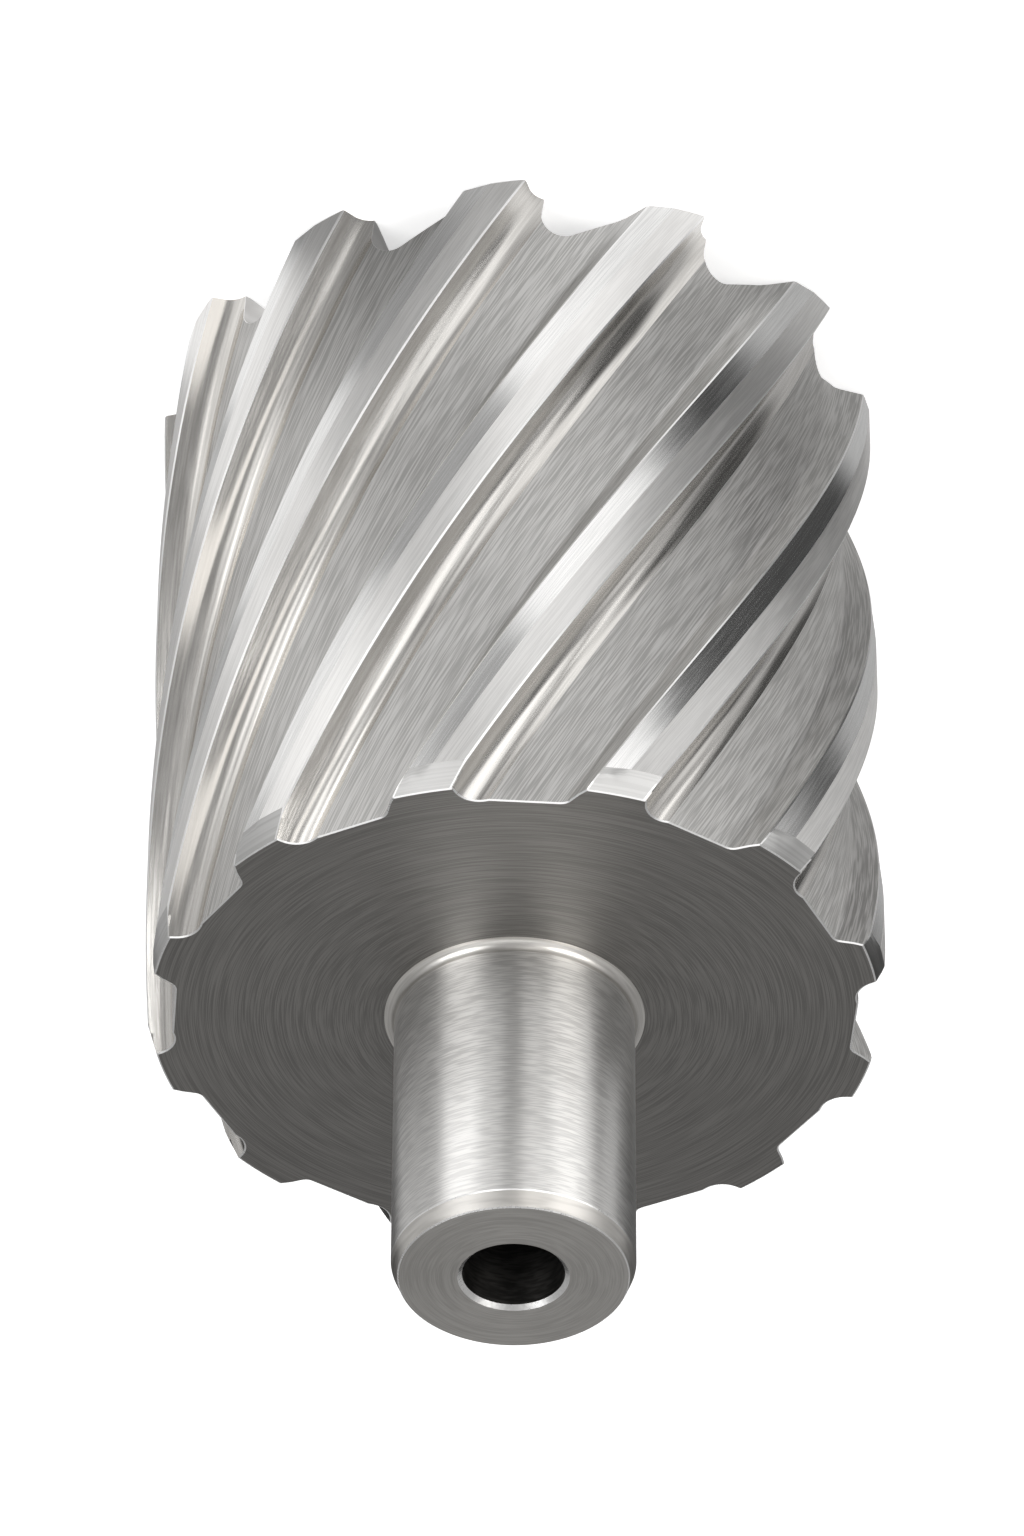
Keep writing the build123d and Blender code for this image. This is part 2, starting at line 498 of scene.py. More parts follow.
@dataclass
class Shank:
    """The ground shank: root round, two clamping flats, end chamfer, end face and pilot bore."""

    radius: float = SHANK_RADIUS
    base: float = BODY_LENGTH
    length: float = 25.5
    root_radius: float = ROOT_RADIUS
    root_strips: int = 8
    chamfer_length: float = 1.35
    chamfer_depth: float = 0.55
    flat_depth: float = 1.1
    flat_length: float = 15.0
    flat_from_end: float = 5.5
    flat_azimuths: tuple[float, float] = (60.0, 150.0)
    flat_edge: float = 0.05
    end_ring: float = 6.6
    bore_radius: float = 4.0
    bore_chamfer: float = 0.35
    bore_rings: tuple[float, ...] = (12.0, 24.0)
    edge: float = 0.07
    # How the end chamfer's bevels lie, as shares of edge: the lower in, the upper out and down
    edge_in: float = 0.4
    edge_out: float = 0.6
    edge_down: float = 1.4
    # How far inside the shank's radius a point counts as cut by a flat
    cut_by: float = 1e-6

    @property
    def top(self) -> float:
        """Height of the end face."""
        return self.base + self.length

    @property
    def flat_half_angle(self) -> float:
        """Half the angle that a flat takes up on the shank."""
        return math.degrees(math.acos((self.radius - self.flat_depth) / self.radius))

    def column_degrees(self, first: float, count: int) -> list[float]:
        """Even angles about the shank, clockwise, the nearest ones moved onto the flats' edges.

        Args:
            first: the first angle.
            count: how many there are.

        Returns:
            The angles.
        """
        step = 360.0 / count
        degrees = [first - step * index for index in range(count)]
        for azimuth in self.flat_azimuths:
            for edge in (azimuth - self.flat_half_angle, azimuth + self.flat_half_angle):
                turns, index = divmod(round((first - edge) / step), count)
                degrees[index] = edge + 360.0 * turns
        return degrees

    def flat_radius(self, degrees: float) -> float:
        """Measures the shank where the flats are cut.

        Args:
            degrees: angle about the axis.

        Returns:
            The radius at that angle.
        """
        reach = self.radius
        for azimuth in self.flat_azimuths:
            away = math.radians((degrees - azimuth + 180.0) % 360.0 - 180.0)
            if abs(away) < math.radians(self.flat_half_angle):
                reach = min(reach, (self.radius - self.flat_depth) / math.cos(away))
        return reach

    def profile(self) -> list[tuple[float, float, Surface, bool]]:
        """Half the section of the shank, from its root up, across its end and down its bore.

        Returns:
            For each point its radius, its height, the surface after it and if a flat may cut it.
        """
        edge, top = self.edge, self.top
        round_radius, round_height = self.radius + self.root_radius, self.base + self.root_radius
        chamfer_start = top - self.chamfer_length
        chamfer_radius = self.radius - self.chamfer_depth
        lower_radius = self.radius - edge * self.edge_in
        upper_radius = chamfer_radius + edge * self.edge_out
        flat_top = top - self.flat_from_end
        flat_bottom = flat_top - self.flat_length
        made: list[tuple[float, float, Surface, bool]] = []
        for index in range(self.root_strips):
            turn = math.radians(90.0 * index / self.root_strips)
            radius = round_radius - self.root_radius * math.sin(turn)
            height = round_height - self.root_radius * math.cos(turn)
            made.append((radius, height, Surface.SHANK_CHAMFER, False))
        made += [
            (self.radius, round_height, Surface.SHANK, False),
            (self.radius, flat_bottom - self.flat_edge, Surface.SHANK, False),
            (self.radius, flat_bottom + self.flat_edge, Surface.SHANK, True),
            (self.radius, flat_top - self.flat_edge, Surface.SHANK, True),
            (self.radius, flat_top + self.flat_edge, Surface.SHANK, False),
            (self.radius, chamfer_start - edge, Surface.EDGE, False),
            (lower_radius, chamfer_start + edge, Surface.SHANK_CHAMFER, False),
            (upper_radius, top - edge * self.edge_down, Surface.EDGE, False),
            (chamfer_radius - edge, top, Surface.SHANK_END, False),
            (self.end_ring, top, Surface.SHANK_END, False),
            (self.bore_radius + self.bore_chamfer, top, Surface.EDGE, False),
            (self.bore_radius, top - self.bore_chamfer, Surface.BORE, False),
        ]
        made += [(self.bore_radius, top - depth, Surface.BORE, False) for depth in self.bore_rings]
        made.append((self.bore_radius, CUP_FLOOR, Surface.CUP, False))
        return made

    def rings(self, degrees: list[float]) -> list[Ring]:
        """The shank from its root up, across its end and down its bore.

        Args:
            degrees: angle of each column of the mesh.

        Returns:
            The rings, from the root round to the floor of the cup.
        """
        profile = self.profile()
        made = []
        for index, (radius, height, surface, flatted) in enumerate(profile):
            reach = [self.flat_radius(angle) if flatted else radius for angle in degrees]
            points = [polar(min(radius, far), angle, height) for far, angle in zip(reach, degrees)]
            ring = Ring.plain(points, surface)
            if flatted and profile[index + 1][3]:
                cut = [far < self.radius - self.cut_by for far in reach]
                for column, beside in enumerate(cut[1:] + cut[:1]):
                    if cut[column] or beside:
                        ring.surfaces[column] = Surface.FLAT
            made.append(ring)
        return made


@dataclass
class Cup:
    """The hollow inside the body: its floor, the bevelled corner and the wall down to the teeth."""

    radius: float = CUP_RADIUS
    floor: float = CUP_FLOOR
    floor_rings: tuple[float, ...] = (12.0, 18.0)
    corner_bevel: float = 1.5
    rows: int = 22

    def rings(self, helix: Helix, ends: ToothEnds, stations: list[Station]) -> list[Ring]:
        """The inside from the floor's middle out and down, following the twist of the teeth.

        Args:
            helix: how the teeth wind.
            ends: the ground tooth ends that the wall runs down to.
            stations: the columns of the mesh.

        Returns:
            The rings, without the one at the tooth ends.
        """
        made = []
        for radius in (*self.floor_rings, self.radius - self.corner_bevel):
            points = [helix.wound(radius, station.degrees, self.floor) for station in stations]
            made.append(Ring.plain(points, Surface.CUP))
        start = self.floor - self.corner_bevel
        for row in range(self.rows):
            points = []
            for station in stations:
                end = max(ends.height(station.degrees), ends.bevel_rise)
                height = start + (end - start) * (row / self.rows)
                points.append(helix.wound(self.radius, station.degrees, height))
            made.append(Ring.plain(points, Surface.CUP))
        return made


# Finishes


class NodeTree:
    """Short ways to add nodes to a tree and to join their sockets."""

    def __init__(self, tree: bpy.types.NodeTree) -> None:
        """Takes over a tree of nodes."""
        self.tree = tree

    def feed(self, socket: bpy.types.NodeSocket, value: object) -> None:
        """Joins a socket to another one, or gives it a value.

        Args:
            socket: the input that is fed.
            value: an output to join it to, or a plain value.
        """
        if isinstance(value, bpy.types.NodeSocket):
            self.tree.links.new(value, socket)
        else:
            socket.default_value = value

    def add(
        self, kind: str, inputs: dict[str, object] | dict[int, object] | None = None,
        **settings: object,
    ) -> bpy.types.Node:
        """Adds a node.

        Args:
            kind: Blender's name for the kind of node.
            inputs: what goes into its sockets, by the name or number of each.
            settings: its settings, by name.

        Returns:
            The new node.
        """
        node = self.tree.nodes.new(kind)
        for name, value in settings.items():
            setattr(node, name, value)
        for label, value in (inputs or {}).items():
            self.feed(node.inputs[label], value)
        return node

    def math(self, operation: str, *values: object) -> bpy.types.NodeSocket:
        """Adds a calculation on numbers and gives its result."""
        node = self.add("ShaderNodeMath", dict(enumerate(values)), operation=operation)
        return node.outputs[0]

    def vector(self, operation: str, *values: object) -> bpy.types.NodeSocket:
        """Adds a calculation on vectors and gives its result."""
        node = self.add("ShaderNodeVectorMath", dict(enumerate(values)), operation=operation)
        return node.outputs["Value" if operation in ("LENGTH", "DOT_PRODUCT") else "Vector"]

    def combine(self, *values: object) -> bpy.types.NodeSocket:
        """Puts three numbers together as a vector."""
        return self.add("ShaderNodeCombineXYZ", dict(enumerate(values))).outputs[0]

    def split(self, vector: bpy.types.NodeSocket) -> tuple[bpy.types.NodeSocket, ...]:
        """Takes a vector apart into its three numbers."""
        return tuple(self.add("ShaderNodeSeparateXYZ", {0: vector}).outputs)

    def blend(self, share: object, first: object, second: object) -> bpy.types.NodeSocket:
        """Goes from one number to another by a share."""
        change = self.math("MULTIPLY", share, self.math("SUBTRACT", second, first))
        return self.math("ADD", first, change)

    def noise(
        self, vector: object, scale: object, detail: float, roughness: float
    ) -> bpy.types.NodeSocket:
        """Adds a noise.

        Args:
            vector: where it is read.
            scale: how many of its lumps go into a unit.
            detail: how many finer layers are added to it.
            roughness: how strong the finer layers are.

        Returns:
            Its strength, from 0 to 1.
        """
        inputs = {"Vector": vector, "Scale": scale, "Detail": detail, "Roughness": roughness}
        return self.add("ShaderNodeTexNoise", inputs).outputs["Fac"]

    def spread(self, value: object, low: float, high: float) -> bpy.types.NodeSocket:
        """Spreads a range of numbers smoothly over 0 to 1.

        Args:
            value: the number that varies.
            low: what becomes 0.
            high: what becomes 1.

        Returns:
            The number after that.
        """
        inputs = {"Value": value, "From Min": low, "From Max": high}
        node = self.add("ShaderNodeMapRange", inputs, interpolation_type="SMOOTHSTEP")
        return node.outputs["Result"]

    def mix(self, factor: object, first: object, second: object) -> bpy.types.NodeSocket:
        """Mixes two colours.

        Args:
            factor: share of the second colour.
            first: the first colour.
            second: the second colour.

        Returns:
            The mixed colour.
        """
        node = self.add("ShaderNodeMix", data_type="RGBA")
        for name, given in (("Factor_Float", factor), ("A_Color", first), ("B_Color", second)):
            self.feed(next(one for one in node.inputs if one.identifier == name), given)
        return next(one for one in node.outputs if one.identifier == "Result_Color")


def new_material(name: str) -> tuple[bpy.types.Material, NodeTree]:
    """Starts a material.

    Args:
        name: name of the material.

    Returns:
        The material and its empty node tree.
    """
    material = bpy.data.materials.new(name)
    material.use_nodes = True
    material.node_tree.nodes.clear()
    return material, NodeTree(material.node_tree)


class NodeGroup(NodeTree):
    """A shader node group with named sockets, which starts from a position."""

    def __init__(self, name: str, numbers: dict[str, float], outputs: dict[str, str]) -> None:
        """Starts the group with its sockets.

        Args:
            name: name of the group.
            numbers: default of each number that goes in beside the position, by its name.
            outputs: kind of each output socket, by its name.
        """
        group = bpy.data.node_groups.new(name, "ShaderNodeTree")
        group.interface.new_socket("Position", in_out="INPUT", socket_type="NodeSocketVector")
        for label, default in numbers.items():
            group.interface.new_socket(
                label, in_out="INPUT", socket_type="NodeSocketFloat"
            ).default_value = default
        for label, kind in outputs.items():
            group.interface.new_socket(label, in_out="OUTPUT", socket_type=kind)
        super().__init__(group)
        self.given = self.add("NodeGroupInput").outputs
        self.out = self.add("NodeGroupOutput").inputs


class LayGroup(NodeGroup):
    """A node group that measures a position in widths and lengths of one tool mark."""

    def __init__(self, lay: Lay) -> None:
        """Starts the group of one lay."""
        numbers = {"Mark Width": 0.1, "Mark Length": 10.0}
        super().__init__(lay.value + "_lay", numbers, {"Position": "NodeSocketVector"})

    def widths_in(self, distance: float) -> bpy.types.NodeSocket:
        """How many widths of a mark go into a distance in millimetres."""
        return self.math("DIVIDE", distance, self.given["Mark Width"])

    def lengths_in(self, distance: float) -> bpy.types.NodeSocket:
        """How many lengths of a mark go into a distance in millimetres."""
        return self.math("DIVIDE", distance, self.given["Mark Length"])

    def put_out(self, *products: tuple[object, object]) -> bpy.types.NodeTree:
        """Ends the group with the position that it measured.

        Args:
            products: for each direction, two numbers whose product is the position along it.

        Returns:
            The group.
        """
        measured = self.combine(*(self.math("MULTIPLY", *product) for product in products))
        self.feed(self.out["Position"], measured)
        return self.tree


class SteelGroups:
    """The node groups that the steel finishes share."""

    def __init__(self, helix: Helix) -> None:
        """Builds the groups once.

        Args:
            helix: how the teeth wind, for the marks that follow them.
        """
        self.lays = {
            Lay.HELICAL: self.helical_lay(helix),
            Lay.TURNED: self.turned_lay(),
            Lay.RADIAL: self.radial_lay(helix),
        }
        self.tool_marks = self.marks()
        self.haze = self.handling_haze()

    @staticmethod
    def helical_lay(helix: Helix) -> bpy.types.NodeTree:
        """Measures along the flutes, on a position with their twist taken out.

        Args:
            helix: how the teeth wind.

        Returns:
            The group.
        """
        nodes = LayGroup(Lay.HELICAL)
        place = nodes.given["Position"]
        height = nodes.split(place)[2]
        turn = nodes.math("MULTIPLY", height, -math.radians(helix.degrees_per_mm) / MM)
        unwound = nodes.add(
            "ShaderNodeVectorRotate", {"Vector": place, "Angle": turn}, rotation_type="Z_AXIS"
        )
        x, y, z = nodes.split(unwound.outputs["Vector"])
        across = nodes.widths_in(METRE)
        return nodes.put_out((x, across), (y, across), (z, nodes.lengths_in(METRE)))

    @staticmethod
    def turned_lay() -> bpy.types.NodeTree:
        """Measures across marks that run round the axis, on a face, a cone or a cylinder.

        Returns:
            The group.
        """
        nodes = LayGroup(Lay.TURNED)
        x, y, z = nodes.split(nodes.given["Position"])
        flat = nodes.combine(x, y, 0.0)
        outward = nodes.math("MULTIPLY", nodes.vector("LENGTH", flat), TURNED_SLANT)
        reach = nodes.math("ADD", z, outward)
        round_x, round_y, _ = nodes.split(nodes.vector("NORMALIZE", flat))
        along = nodes.lengths_in(TURNED_RADIUS)
        return nodes.put_out((round_x, along), (round_y, along), (reach, nodes.widths_in(METRE)))

    @staticmethod
    def radial_lay(helix: Helix) -> bpy.types.NodeTree:
        """Measures across marks that run straight out from the axis.

        Args:
            helix: how the teeth wind, for the radius of the rim.

        Returns:
            The group.
        """
        nodes = LayGroup(Lay.RADIAL)
        x, y, z = nodes.split(nodes.given["Position"])
        radius = nodes.vector("LENGTH", nodes.combine(x, y, 0.0))
        angle = nodes.math("ARCTAN2", y, x)
        along = nodes.lengths_in(METRE)
        across = nodes.widths_in(helix.rim_radius)
        return nodes.put_out((angle, across), (radius, along), (z, along))

    @staticmethod
    def marks() -> bpy.types.NodeTree:
        """Fine lines that a wheel or a lathe tool leaves: their tone and their height.

        Returns:
            The group.
        """
        nodes = NodeGroup(
            "tool_marks",
            {"Coarse Share": 0.4},
            {"Tone": "NodeSocketFloat", "Height": "NodeSocketFloat"},
        )
        place = nodes.given["Position"]
        fine = nodes.noise(place, scale=1.0, detail=1.5, roughness=0.5)
        coarse = nodes.noise(place, scale=0.2, detail=2.0, roughness=0.6)
        height = nodes.blend(nodes.given["Coarse Share"], fine, coarse)
        nodes.feed(nodes.out["Tone"], nodes.spread(height, *MARK_RANGE))
        nodes.feed(nodes.out["Height"], height)
        return nodes.tree

    @staticmethod
    def handling_haze() -> bpy.types.NodeTree:
        """Large faint patches that coolant, oil and handling leave on ground steel.

        Returns:
            The group.
        """
        nodes = NodeGroup("handling_haze", {"Patch Size": 12.0}, {"Haze": "NodeSocketFloat"})
        scale = nodes.math("DIVIDE", METRE, nodes.given["Patch Size"])
        patches = nodes.noise(nodes.given["Position"], scale, detail=4.0, roughness=0.55)
        nodes.feed(nodes.out["Haze"], nodes.spread(patches, *HAZE_RANGE))
        return nodes.tree


@dataclass(frozen=True)
class SteelFinish:
    """One finish of the cutter's steel, a few of whose colours also hold painted shade or
    highlight. Its marks and its relief are in millimetres.
    """

    surface: Surface
    lay: Lay
    pale: tuple[float, float, float]
    deep: tuple[float, float, float]
    roughness: float
    roughness_swing: float = 0.06
    anisotropy: float = 0.5
    mark_width: float = 0.2
    mark_length: float = 4.0
    coarse_share: float = 0.3
    haze_share: float = 0.25
    relief: float = 0.0008
    relief_strength: float = 0.6

    @property
    def spread_turn(self) -> float:
        """How far the highlight is turned to lie across the marks, as a share of a full turn."""
        degrees = {Lay.HELICAL: HELIX_ANGLE, Lay.TURNED: 90.0, Lay.RADIAL: 0.0}[self.lay]
        return degrees / 360.0

    def material(self, groups: SteelGroups) -> bpy.types.Material:
        """Builds the material.

        Args:
            groups: the node groups that the finishes share.

        Returns:
            The finished material.
        """
        made, nodes = new_material(self.surface.value + "_steel")
        place = nodes.add("ShaderNodeTexCoord").outputs["Object"]
        lay = nodes.add(
            "ShaderNodeGroup",
            {"Position": place, "Mark Width": self.mark_width, "Mark Length": self.mark_length},
            node_tree=groups.lays[self.lay],
        )
        marks = nodes.add(
            "ShaderNodeGroup",
            {"Position": lay.outputs["Position"], "Coarse Share": self.coarse_share},
            node_tree=groups.tool_marks,
        )
        haze = nodes.add("ShaderNodeGroup", {"Position": place}, node_tree=groups.haze)
        tone = nodes.blend(self.haze_share, marks.outputs["Tone"], haze.outputs["Haze"])
        swing = nodes.math("MULTIPLY", tone, self.roughness_swing)
        round_axis = nodes.add("ShaderNodeTangent", direction_type="RADIAL", axis="Z")
        bump = nodes.add("ShaderNodeBump", {
            "Strength": self.relief_strength,
            "Distance": self.relief * MM,
            "Height": marks.outputs["Height"],
        })
        steel = nodes.add("ShaderNodeBsdfPrincipled", {
            "Metallic": 1.0,
            "Anisotropic": self.anisotropy,
            "Anisotropic Rotation": self.spread_turn,
            "Tangent": round_axis.outputs["Tangent"],
            "Base Color": nodes.mix(tone, (*self.deep, 1.0), (*self.pale, 1.0)),
            "Roughness": nodes.math("ADD", self.roughness - self.roughness_swing / 2, swing),
            "Normal": bump.outputs["Normal"],
        })
        nodes.add("ShaderNodeOutputMaterial", {"Surface": steel.outputs["BSDF"]})
        return made


FINISHES = (
    SteelFinish(
        Surface.MARGIN, Lay.HELICAL, (0.88, 0.87, 0.855), (0.72, 0.71, 0.695), 0.4,
        anisotropy=0.6, mark_width=0.11, haze_share=0.3, relief=0.0003,
    ),
    SteelFinish(
        Surface.RELIEF, Lay.HELICAL, (0.87, 0.865, 0.855), (0.72, 0.715, 0.705), 0.18,
        anisotropy=0.3, mark_width=0.11, haze_share=0.3, relief=0.0003,
    ),
    SteelFinish(
        Surface.RAKE, Lay.HELICAL, (0.74, 0.72, 0.69), (0.62, 0.6, 0.572), 0.22,
        anisotropy=0.3, relief=0.0,
    ),
    SteelFinish(
        Surface.FLOOR, Lay.HELICAL, (0.66, 0.652, 0.64), (0.44, 0.433, 0.422), 0.55,
        anisotropy=0.4, mark_width=0.12, coarse_share=0.0, haze_share=0.06, relief=0.0003,
    ),
    # Partly painted highlight: the bevelled edges are real geometry and catch the lamps, and their
    # near-white colour paints bright highlight lines along them.
    SteelFinish(
        Surface.EDGE, Lay.HELICAL, (0.96, 0.955, 0.945), (0.90, 0.895, 0.885), 0.3,
        anisotropy=0.0, relief=0.0,
    ),
    SteelFinish(
        Surface.REAR_CHAMFER, Lay.TURNED, (0.66, 0.655, 0.645), (0.54, 0.535, 0.525), 0.32,
        mark_width=0.12, mark_length=8.0, relief=0.0002,
    ),
    # Painted shade: the rear face's steel is much darker than the rest of the cutter's steel,
    # standing in for the dark reflection that the flat face shows.
    SteelFinish(
        Surface.REAR_FACE, Lay.TURNED, (0.255, 0.248, 0.237), (0.182, 0.177, 0.169), 0.46,
        anisotropy=0.0, mark_width=0.12, coarse_share=0.0, haze_share=0.06, relief=0.0003,
    ),
    SteelFinish(
        Surface.SHANK, Lay.TURNED, (0.93, 0.92, 0.90), (0.74, 0.73, 0.715), 0.36,
        anisotropy=0.9, mark_width=0.12, mark_length=3.0, coarse_share=0.0, haze_share=0.06,
        relief=0.0001,
    ),
    SteelFinish(
        Surface.SHANK_END, Lay.TURNED, (0.56, 0.545, 0.522), (0.44, 0.427, 0.406), 0.36,
        anisotropy=0.3, mark_width=0.12, mark_length=6.0, relief=0.0003,
    ),
    SteelFinish(
        Surface.SHANK_CHAMFER, Lay.TURNED, (0.74, 0.72, 0.69), (0.58, 0.563, 0.535), 0.36,
        anisotropy=0.3, mark_width=0.12, mark_length=6.0, relief=0.0003,
    ),
    SteelFinish(Surface.FLAT, Lay.RADIAL, (0.70, 0.69, 0.68), (0.50, 0.495, 0.485), 0.3),
    # Painted shade: the pilot bore's steel is nearly black, standing in for the shade deep inside
    # the bore.
    SteelFinish(Surface.BORE, Lay.TURNED, (0.13, 0.125, 0.12), (0.07, 0.068, 0.065), 0.42),
    SteelFinish(Surface.CUP, Lay.TURNED, (0.50, 0.49, 0.475), (0.30, 0.295, 0.285), 0.4),
    SteelFinish(Surface.TOOTH_END, Lay.RADIAL, (0.70, 0.69, 0.675), (0.48, 0.47, 0.46), 0.3),
)


@dataclass
class AnnularCutter:
    """The whole cutter, one closed skin of steel."""

    name: str = "fluted_cutter"
    helix: Helix = field(default_factory=Helix)
    shank: Shank = field(default_factory=Shank)
    cup: Cup = field(default_factory=Cup)
    rear_face: RearFace = field(default_factory=RearFace)
    sharp_angle: float = 13.0

    def rings(self) -> list[Ring]:
        """All the rings of the skin: flutes, rear face, shank, bore, cup and tooth ends.

        Returns:
            The rings, in order. The last one meets the first.
        """
        ends = ToothEnds(self.helix)
        body = FlutedBody(self.helix, ends)
        stations = FluteSection(self.helix).stations(ends.breaks())
        outside = body.rings(stations)
        first = self.helix.first_tooth + self.helix.degrees_per_mm * body.length
        shank_degrees = self.shank.column_degrees(first, len(stations))
        return [
            *outside,
            *self.rear_face.rings(outside[-1], shank_degrees),
            *self.shank.rings(shank_degrees),
            *self.cup.rings(self.helix, ends, stations),
            *ends.rings(stations),
        ]

    def build(self) -> bpy.types.Object:
        """Makes the mesh, marks its crisp edges and gives each face its surface.

        Returns:
            The new piece.
        """
        rings = self.rings()
        count = len(rings[0].points)
        vertices = [point * MM for ring in rings for point in ring.points]
        faces, slots = [], []
        order = [finish.surface for finish in FINISHES]
        for row, ring in enumerate(rings):
            here, above = row * count, (row + 1) % len(rings) * count
            for column, surface in enumerate(ring.surfaces):
                beside = (column + 1) % count
                faces.append((here + column, above + column, above + beside, here + beside))
                slots.append(order.index(surface))
        mesh = bpy.data.meshes.new(self.name)
        mesh.from_pydata(vertices, [], faces)
        mesh.polygons.foreach_set("material_index", slots)
        mesh.polygons.foreach_set("use_smooth", [True] * len(faces))
        self.mark_sharp(mesh)
        piece = bpy.data.objects.new(self.name, mesh)
        bpy.context.collection.objects.link(piece)
        log.info("%s: %d rings of %d points, %d faces", self.name, len(rings), count, len(faces))
        return piece

    def mark_sharp(self, mesh: bpy.types.Mesh) -> None:
        """Keeps an edge sharp where it bends, or where one surface meets another.

        Args:
            mesh: the skin of the cutter.
        """
        skin = bmesh.new()
        skin.from_mesh(mesh)
        limit = math.radians(self.sharp_angle)
        for edge in skin.edges:
            one, other = edge.link_faces
            same_surface = one.material_index == other.material_index
            edge.smooth = same_surface and edge.calc_face_angle(0.0) < limit
        skin.to_mesh(mesh)
        skin.free()

    def dress(self, piece: bpy.types.Object) -> None:
        """Gives the piece its materials and its place in the frame.

        Args:
            piece: the cutter's mesh.
        """
        groups = SteelGroups(self.helix)
        for finish in FINISHES:
            piece.data.materials.append(finish.material(groups))
        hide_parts("annular_cutter")
        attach(piece, "root")


# Studio


def hide_from_all_but_gloss(prop: bpy.types.Object) -> None:
    """Lets only the steel see a studio prop."""
    for ray in ("camera", "diffuse", "shadow", "transmission", "volume_scatter"):
        setattr(prop, "visible_" + ray, False)


def stage_prop(
    name: str, points: list[Vector], faces: list[tuple[int, ...]], material: bpy.types.Material
) -> bpy.types.Object:
    """Adds a piece of the studio, which isn't part of the cutter.

    Args:
        name: name of the piece.
        points: its corners, in metres.
        faces: its faces.
        material: what it is made of.

    Returns:
        The new piece.
    """
    mesh = bpy.data.meshes.new(name)
    mesh.from_pydata(points, [], faces)
    mesh.materials.append(material)
    prop = bpy.data.objects.new(name, mesh)
    bpy.context.collection.objects.link(prop)
    return prop


@dataclass(frozen=True)
class SoftBox:
    """A soft lamp that faces the cutter. A brightness of 1 shows as white; sizes are in metres."""

    name: str
    azimuth: float
    elevation: float
    distance: float
    width: float
    height: float
    brightness: float
    colour: tuple[float, float, float] = (1.0, 1.0, 1.0)
    aim_height: float = 0.04

    def build(self) -> None:
        """Makes the lamp."""
        data = bpy.data.lights.new(self.name, "AREA")
        data.shape = "RECTANGLE"
        data.size, data.size_y = self.width, self.height
        data.energy = self.brightness * math.pi * self.width * self.height
        data.color = self.colour
        lamp = bpy.data.objects.new(self.name, data)
        rise = math.radians(self.elevation)
        middle = Vector((0, 0, self.aim_height))
        outward = polar(math.cos(rise), self.azimuth) + Vector((0, 0, math.sin(rise)))
        lamp.location = middle + self.distance * outward
        lamp.rotation_euler = (lamp.location - middle).to_track_quat("Z", "Y").to_euler()
        lamp.visible_camera = False
        bpy.context.collection.objects.link(lamp)


@dataclass(frozen=True)
class Sector:
    """A part of a ring of the glowing card with a glow of its own, in degrees about the cutter."""

    middle: float
    half_width: float
    tone: float
    softness: float = 8.0


@dataclass(frozen=True)
class CardRing:
    """One ring of the card: where it blends in, its plain tone and the sectors that differ."""

    start: float
    full: float
    tone: float
    sectors: tuple[Sector, ...]

    def shade(self, nodes: NodeTree, way: bpy.types.NodeSocket) -> bpy.types.NodeSocket:
        """Adds the nodes for its tone.

        Args:
            nodes: the tree of the card's material.
            way: direction from the axis, as a vector of length 1.

        Returns:
            The tone in that direction.
        """
        tone: object = self.tone
        for sector in self.sectors:
            inside = math.cos(math.radians(max(sector.half_width - sector.softness, 0.0)))
            outside = math.cos(math.radians(sector.half_width + sector.softness))
            facing = nodes.vector("DOT_PRODUCT", way, polar(1.0, sector.middle))
            tone = nodes.blend(nodes.spread(facing, outside, inside), tone, sector.tone)
        return tone


